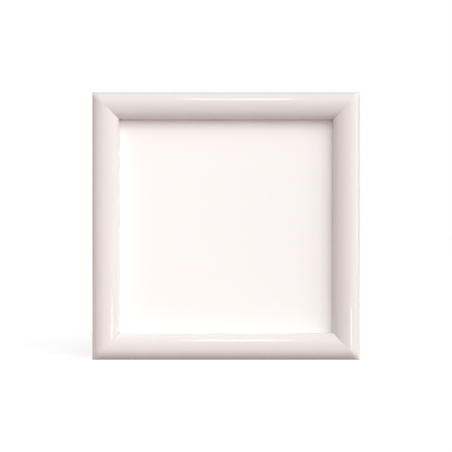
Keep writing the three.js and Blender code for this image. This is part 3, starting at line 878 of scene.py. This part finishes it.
floor_white, tree, surface, place = material("white_studio_floor", Roughness=0.9, Specular_IOR_Level=0.0)
surface["Emission Color"].default_value = colour("#FFFFFF")
seen = seen_directly(tree)
bounced = {0: seen, 6: colour("#AD9590"), 7: colour("#BCBCBC")}
tree.links.new(node(tree, "Mix", bounced, data_type="RGBA")[2], surface["Base Color"])
glow = node(tree, "Math", {0: seen, 1: floor_glow}, operation="MULTIPLY")[0]
tree.links.new(glow, surface["Emission Strength"])
corners = [(-floor_reach, -floor_reach, 0), (floor_reach, -floor_reach, 0), (floor_reach, floor_reach, 0),
           (-floor_reach, floor_reach, 0)]
floor = mesh_piece("floor", corners, [(0, 1, 2, 3)], (floor_white,))
floor.visible_glossy = False

# A backdrop that glows, though it is no lamp: painted light, brightest in its middle, that falls to a dim
# grey
# at its edges. Only reflections see it: it gives the white edges and the metal something darker to show.
backdrop_depth = 1.0
backdrop_wide = 2.5
backdrop_high = 2.2
full_glow_radius = 0.45
dim_glow_radius = 1.2
dim_glow_level = 0.25
glowing_backdrop_material, tree, surface, place = material("backdrop_with_painted_glow", Roughness=0.9,
                                                Specular_IOR_Level=0.0)
# The backdrop has no colour of its own: all that shows is its painted glow.
surface["Base Color"].default_value = colour("#000000")
surface["Emission Color"].default_value = colour("#FFFFFF")
brightest = Vector((0, backdrop_depth, half))
across = node(tree, "VectorMath", {0: place, 1: brightest}, operation="DISTANCE")["Value"]
falling = {"Value": across, "From Min": full_glow_radius, "From Max": dim_glow_radius, "To Min": 1.0,
           "To Max": dim_glow_level}
# Painted light: the glow is strongest near the middle and fades to a dim grey towards the edges.
fallen = node(tree, "MapRange", falling, interpolation_type="SMOOTHSTEP")[0]
tree.links.new(fallen, surface["Emission Strength"])
corners = [(-backdrop_wide, backdrop_depth, 0), (backdrop_wide, backdrop_depth, 0),
           (backdrop_wide, backdrop_depth, backdrop_high), (-backdrop_wide, backdrop_depth, backdrop_high)]
backdrop = mesh_piece("backdrop", corners, [(0, 1, 2, 3)], (glowing_backdrop_material,))
backdrop.visible_camera = False
backdrop.visible_diffuse = False
backdrop.visible_transmission = False
backdrop.visible_shadow = False

# The dome glows at the right, at the front right, high in front, and behind. The higher the spread's
# number, the closer each glow is drawn together.
glow_spread = 8
dome_glows = [((1, -0.25, 0.1), 2.6), ((1, -1, 0), 1.7), ((0.22, -1, 0.8), 3.5), ((-0.4, 1, 0.3), 3.6)]
dome = bpy.data.worlds.new("studio_dome")
bpy.context.scene.world = dome
dome.use_nodes = True
tree = dome.node_tree
direction = node(tree, "TexCoord")["Generated"]


def glow_from(way, strength):
    """Soft light from one side of the dome."""
    way = Vector(way).normalized()
    facing = node(tree, "VectorMath", {0: direction, 1: way}, operation="DOT_PRODUCT")["Value"]
    facing = node(tree, "Math", {0: facing, 1: 0.0}, operation="MAXIMUM")[0]
    narrowed = node(tree, "Math", {0: facing, 1: glow_spread}, operation="POWER")[0]
    return node(tree, "Math", {0: narrowed, 1: strength}, operation="MULTIPLY")[0]


glows = glow_from(*dome_glows[0])
for way, strength in dome_glows[1:]:
    glows = node(tree, "Math", {0: glows, 1: glow_from(way, strength)}, operation="ADD")[0]
lit = node(tree, "Mix", {0: 1.0, 6: colour("#443A39"), 7: glows}, data_type="RGBA", blend_type="ADD")[2]
shown = {0: seen_directly(tree), 6: lit, 7: colour("#FFFFFF")}
tree.links.new(node(tree, "Mix", shown, data_type="RGBA")[2], tree.nodes["Background"].inputs["Color"])


def soft_box(name, place, width, height, radiance):
    """A rectangular soft light at place, turned to the picture. Its power gives the radiance."""
    lamp = bpy.data.lights.new(name, "AREA")
    lamp.shape = "RECTANGLE"
    lamp.size = width
    lamp.size_y = height
    lamp.energy = radiance * math.pi * width * height
    box = bpy.data.objects.new(name, lamp)
    bpy.context.scene.collection.objects.link(box)
    box.location = place
    box.rotation_mode = "QUATERNION"
    box.rotation_quaternion = (middle - place).to_track_quat("-Z", "Y")
    return box


def around(azimuth, elevation, distance):
    """A place seen from the middle of the picture: azimuth to the right of the camera, in degrees."""
    a, e = math.radians(azimuth), math.radians(elevation)
    way = Vector((math.sin(a) * math.cos(e), -math.cos(a) * math.cos(e), math.sin(e)))
    return middle + way * distance


# Where each box stands, its width and height in metres, and its radiance.
soft_box("top_box", around(1.2, 42.5, 2.0), 0.24, 0.17, 12.0)
soft_box("side_box", around(88, 5.5, 1.6), 0.3, 0.48, 2.4)

# The left box lifts the shade on the left rail and leaves no line on it.
left_box = soft_box("left_box", around(-75, 5, 0.32), 0.2, 0.3, 0.5)
left_box.visible_glossy = False

# The low box stands partly below the floor, which neither hides it from the gloss nor is lit by it.
low_box = soft_box("low_box", around(37.5, -12.8, 0.5), 0.055, 0.044, 10.0)
low_box.visible_diffuse = False
passed_through = bpy.data.collections.new("passed_through")
passed_through.objects.link(floor)
passed_through.collection_objects[0].light_linking.link_state = "EXCLUDE"
low_box.light_linking.blocker_collection = passed_through

# Camera
# Square on to the picture, at the height of its middle, as far away as the size in the photograph asks.
photo_size = 452
frame_in_photo = 267.3
stand_off = 1.1
camera_data = bpy.data.cameras.new("camera")
camera_data.sensor_width = 36
camera_data.lens = frame_in_photo / photo_size * camera_data.sensor_width * stand_off / (2 * half)
camera = bpy.data.objects.new("camera", camera_data)
bpy.context.scene.collection.objects.link(camera)
camera.location = middle + Vector((0, crown_start - stand_off, 0))
camera.rotation_euler = (math.pi / 2, 0, 0)
bpy.context.scene.camera = camera
bpy.context.scene.view_settings.view_transform = "Standard"
